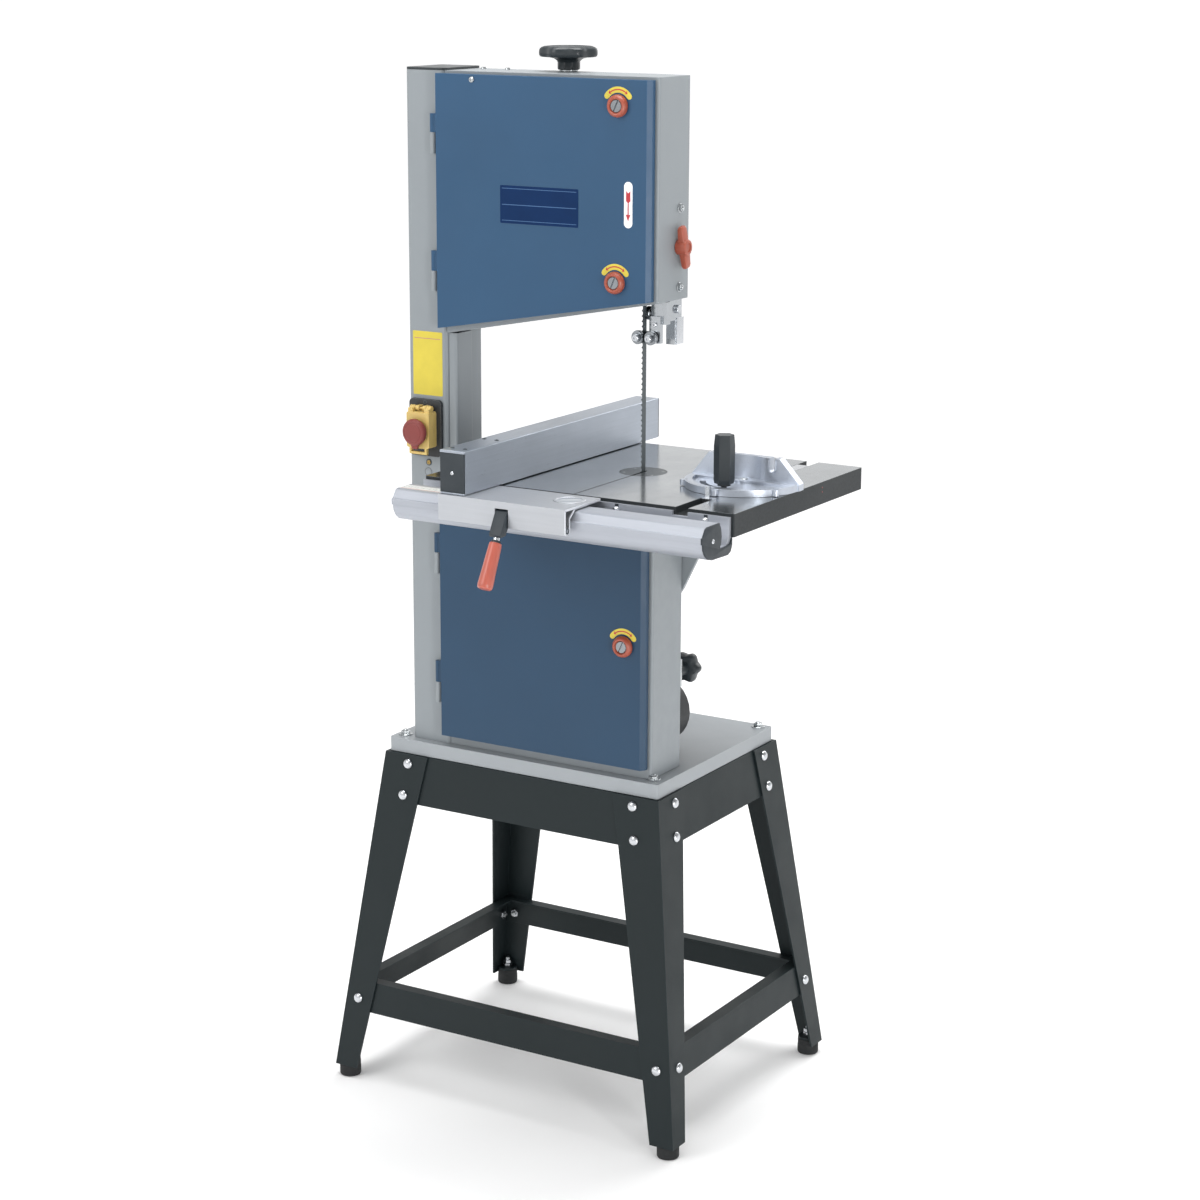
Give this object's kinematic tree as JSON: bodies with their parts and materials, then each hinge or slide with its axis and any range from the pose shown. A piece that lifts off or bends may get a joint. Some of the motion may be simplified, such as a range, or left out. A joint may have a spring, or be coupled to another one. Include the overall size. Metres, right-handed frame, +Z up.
{
  "type": "band saw",
  "caption": "Floor-standing two-wheel vertical band saw: sheet-metal wheel housings on a box column, tilting table with fence and mitre gauge, angle-iron stand.",
  "frame": {"origin": "bottom centre of the bounding box, on the floor", "axes": "+Z up; +X to the right of the operator; the operator and the doors are on the -Y side"},
  "size_m": [0.7238, 0.7017, 1.5454],
  "materials": {
    "stand_paint": "dark grey powder coat",
    "grey_paint": "light grey orange-peel paint",
    "blue_paint": "blue orange-peel paint",
    "black_plastic": "satin",
    "motor_paint": "black enamel",
    "rubber": "matt",
    "tyre_rubber": "matt",
    "cast_iron": "ground top, black painted rim",
    "steel": "bright",
    "aluminium": "anodised",
    "blade_steel": "dark",
    "orange_plastic": "semi-gloss",
    "yellow_plastic": "semi-gloss",
    "red_plastic": "semi-gloss",
    "green_plastic": "semi-gloss"
  },
  "bodies": {
    "frame": {"stand_leg_front_left": "stand_paint", "foot_front_left": "rubber", "stand_leg_front_right": "stand_paint", "foot_front_right": "rubber", "stand_leg_back_right": "stand_paint", "foot_back_right": "rubber", "stand_leg_back_left": "stand_paint", "foot_back_left": "rubber", "apron_front": "stand_paint", "stretcher_front": "stand_paint", "apron_back": "stand_paint", "stretcher_back": "stand_paint", "apron_left": "stand_paint", "stretcher_left": "stand_paint", "apron_right": "stand_paint", "stretcher_right": "stand_paint", "base_plate": "grey_paint", "lower_wheel_housing": "grey_paint", "upper_wheel_housing": "grey_paint", "column": "grey_paint", "column_cap": "black_plastic", "blade_return_guard": "grey_paint", "lower_wheel_shaft": "steel", "saw_blade": "blade_steel", "motor": "motor_paint", "drive_belt": "rubber", "trunnion_cradle": "grey_paint", "switch_housing": "black_plastic"},
    "upper_door": {"upper_door": "blue_paint"},
    "lower_door": {"lower_door": "blue_paint"},
    "upper_door_latch_top": {"upper_door_latch_top": "orange_plastic"},
    "upper_door_latch_bottom": {"upper_door_latch_bottom": "orange_plastic"},
    "lower_door_latch": {"lower_door_latch": "orange_plastic"},
    "motor_pulley": {"motor_pulley": "cast_iron"},
    "tension_slide": {"tension_slide": "cast_iron"},
    "tension_knob": {"tension_knob": "black_plastic"},
    "tracking_knob": {"tracking_knob": "black_plastic"},
    "motor_clamp_knob": {"motor_clamp_knob": "black_plastic"},
    "guide_post": {"guide_post": "steel"},
    "guide_bearing_left": {"guide_bearing_left": "steel"},
    "guide_bearing_right": {"guide_bearing_right": "steel"},
    "thrust_bearing": {"thrust_bearing": "steel"},
    "guide_lock_knob": {"guide_lock_knob": "orange_plastic"},
    "fence_lever": {"fence_lever": "orange_plastic"},
    "mitre_bar": {"mitre_bar": "steel"},
    "mitre_head": {"mitre_head": "aluminium"},
    "mitre_handle": {"mitre_handle": "black_plastic"},
    "switch_lid": {"switch_lid": "yellow_plastic"},
    "stop_button": {"stop_button": "red_plastic"},
    "start_button": {"start_button": "green_plastic"},
    "lower_wheel": {"lower_wheel": "cast_iron", "lower_tyre": "tyre_rubber"},
    "upper_wheel": {"upper_wheel": "cast_iron", "upper_tyre": "tyre_rubber"},
    "upper_axle": {"upper_wheel_shaft": "steel"},
    "table": {"table": "cast_iron", "table_insert": "black_plastic", "fence_rail": "aluminium"},
    "fence": {"fence_carriage": "aluminium", "fence_beam": "aluminium"}
  },
  "joints": [
    {"name": "upper_door_hinge", "type": "hinge", "parent": "frame", "child": "upper_door", "pos_m": [-0.2134, -0.04935, 1.33], "axis": [0, 0, -1], "range_deg": [0, 150]},
    {"name": "lower_door_hinge", "type": "hinge", "parent": "frame", "child": "lower_door", "pos_m": [-0.2134, -0.04935, 0.705], "axis": [0, 0, -1], "range_deg": [0, 150]},
    {"name": "upper_door_latch_top_turn", "type": "hinge", "parent": "upper_door", "child": "upper_door_latch_top", "pos_m": [0.0933, -0.05785, 1.472], "axis": [0, 1, 0], "range_deg": [0, 90]},
    {"name": "upper_door_latch_bottom_turn", "type": "hinge", "parent": "upper_door", "child": "upper_door_latch_bottom", "pos_m": [0.0901, -0.05785, 1.2352], "axis": [0, -1, 0], "range_deg": [0, 90]},
    {"name": "lower_door_latch_turn", "type": "hinge", "parent": "lower_door", "child": "lower_door_latch", "pos_m": [0.1062, -0.05785, 0.727], "axis": [0, 1, 0], "range_deg": [0, 90]},
    {"name": "lower_wheel_spin", "type": "hinge", "parent": "frame", "child": "lower_wheel", "pos_m": [-0.0382, -0.01885, 0.699], "axis": [0, 1, 0], "continuous": true},
    {"name": "motor_pulley_spin", "type": "hinge", "parent": "frame", "child": "motor_pulley", "pos_m": [-0.1236, 0.00515, 0.64], "axis": [0, 1, 0], "continuous": true},
    {"name": "tension_knob_turn", "type": "hinge", "parent": "frame", "child": "tension_knob", "pos_m": [-0.0382, 0.02815, 1.51], "axis": [0, 0, 1], "range_deg": [0, 1440]},
    {"name": "wheel_tension_slide", "type": "slide", "parent": "frame", "child": "tension_slide", "axis": [0, 0, 1], "range_m": [-0.008, 0]},
    {"name": "tracking_knob_turn", "type": "hinge", "parent": "tension_slide", "child": "tracking_knob", "pos_m": [-0.0382, 0.05615, 1.308], "axis": [0, 1, 0], "range_deg": [-160, 160]},
    {"name": "wheel_tracking_tilt", "type": "hinge", "parent": "tension_slide", "child": "upper_axle", "pos_m": [-0.0382, 0.00215, 1.34], "axis": [1, 0, 0], "range_deg": [-1, 1]},
    {"name": "upper_wheel_spin", "type": "hinge", "parent": "upper_axle", "child": "upper_wheel", "pos_m": [-0.0382, -0.01885, 1.34], "axis": [0, 1, 0], "continuous": true},
    {"name": "motor_clamp_knob_turn", "type": "hinge", "parent": "frame", "child": "motor_clamp_knob", "pos_m": [0.1304, 0.07015, 0.669], "axis": [0, 1, 0], "range_deg": [0, 360]},
    {"name": "guide_height", "type": "slide", "parent": "frame", "child": "guide_post", "axis": [0, 0, -1], "range_m": [0, 0.15]},
    {"name": "guide_bearing_left_spin", "type": "hinge", "parent": "guide_post", "child": "guide_bearing_left", "pos_m": [0.10468, -0.02035, 1.1575], "axis": [0, 1, 0], "continuous": true},
    {"name": "guide_bearing_right_spin", "type": "hinge", "parent": "guide_post", "child": "guide_bearing_right", "pos_m": [0.12492, -0.02035, 1.1575], "axis": [0, 1, 0], "continuous": true},
    {"name": "thrust_bearing_spin", "type": "hinge", "parent": "guide_post", "child": "thrust_bearing", "pos_m": [0.1148, -0.00605, 1.19], "axis": [1, 0, 0], "continuous": true},
    {"name": "guide_lock_turn", "type": "hinge", "parent": "frame", "child": "guide_lock_knob", "pos_m": [0.1485, 0.01015, 1.281], "axis": [1, 0, 0], "range_deg": [0, 360]},
    {"name": "table_tilt", "type": "hinge", "parent": "frame", "child": "table", "pos_m": [0.1148, -0.02085, 0.9705], "axis": [0, 1, 0], "range_deg": [0, 45]},
    {"name": "fence_slide", "type": "slide", "parent": "table", "child": "fence", "axis": [-1, 0, 0], "range_m": [-0.09, 0.075]},
    {"name": "fence_lever_turn", "type": "hinge", "parent": "fence", "child": "fence_lever", "pos_m": [0.0626, -0.29835, 0.953], "axis": [-1, 0, 0], "range_deg": [0, 60]},
    {"name": "mitre_slide", "type": "slide", "parent": "table", "child": "mitre_bar", "axis": [0, 1, 0], "range_m": [-0.09, 0.15]},
    {"name": "mitre_swivel", "type": "hinge", "parent": "mitre_bar", "child": "mitre_head", "pos_m": [0.2799, -0.03585, 0.9708], "axis": [0, 0, 1], "range_deg": [-60, 60]},
    {"name": "mitre_handle_turn", "type": "hinge", "parent": "mitre_bar", "child": "mitre_handle", "pos_m": [0.2799, -0.09085, 0.98], "axis": [0, 0, 1], "range_deg": [0, 360]},
    {"name": "switch_lid_hinge", "type": "hinge", "parent": "frame", "child": "switch_lid", "pos_m": [-0.2326, -0.05785, 1.0336], "axis": [-1, 0, 0], "range_deg": [0, 100]},
    {"name": "stop_button_press", "type": "slide", "parent": "switch_lid", "child": "stop_button", "axis": [0, 1, 0], "range_m": [0, 0.0035], "stiffness_N_per_m": 400},
    {"name": "start_button_press", "type": "slide", "parent": "frame", "child": "start_button", "axis": [0, 1, 0], "range_m": [0, 0.003], "stiffness_N_per_m": 400}
  ],
  "couplings": [
    {"joint": "upper_wheel_spin", "follows": "lower_wheel_spin", "ratio": 1},
    {"joint": "motor_pulley_spin", "follows": "lower_wheel_spin", "ratio": 2.0833},
    {"joint": "tension_knob_turn", "follows": "wheel_tension_slide", "rad_per_m": -3141.5},
    {"joint": "wheel_tracking_tilt", "follows": "tracking_knob_turn", "ratio": 0.00625}
  ]
}
